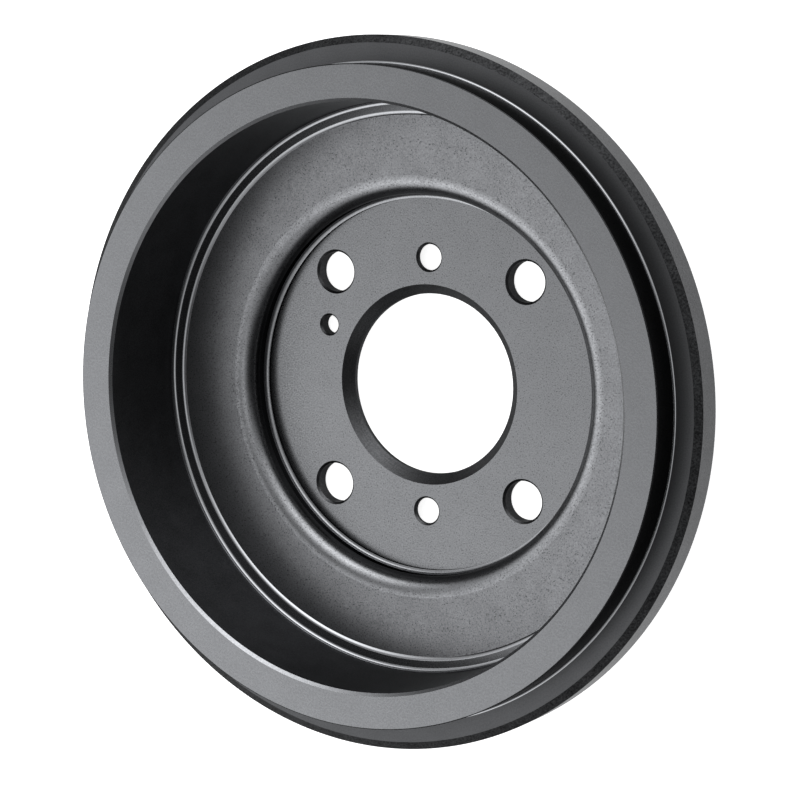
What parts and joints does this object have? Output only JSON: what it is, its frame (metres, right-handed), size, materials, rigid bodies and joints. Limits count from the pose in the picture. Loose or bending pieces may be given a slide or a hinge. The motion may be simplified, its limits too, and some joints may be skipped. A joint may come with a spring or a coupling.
{
  "type": "brake drum",
  "caption": "Cast-iron brake drum with a machined braking bore, a flanged mouth, and a hub plate with stud and screw holes.",
  "frame": {"origin": "on the drum's axis in the plane of the wheel face, which the drum rests on", "axes": "+Z along the drum's axis, out of its mouth; +Y through the upper retaining screw hole"},
  "size_m": [0.244, 0.244, 0.0575],
  "materials": {
    "cast_iron": "grey iron, turned bright on the machined faces and left as cast on the web and the outside"
  },
  "bodies": {
    "root": {"brake_drum": "cast_iron"}
  },
  "joints": []
}
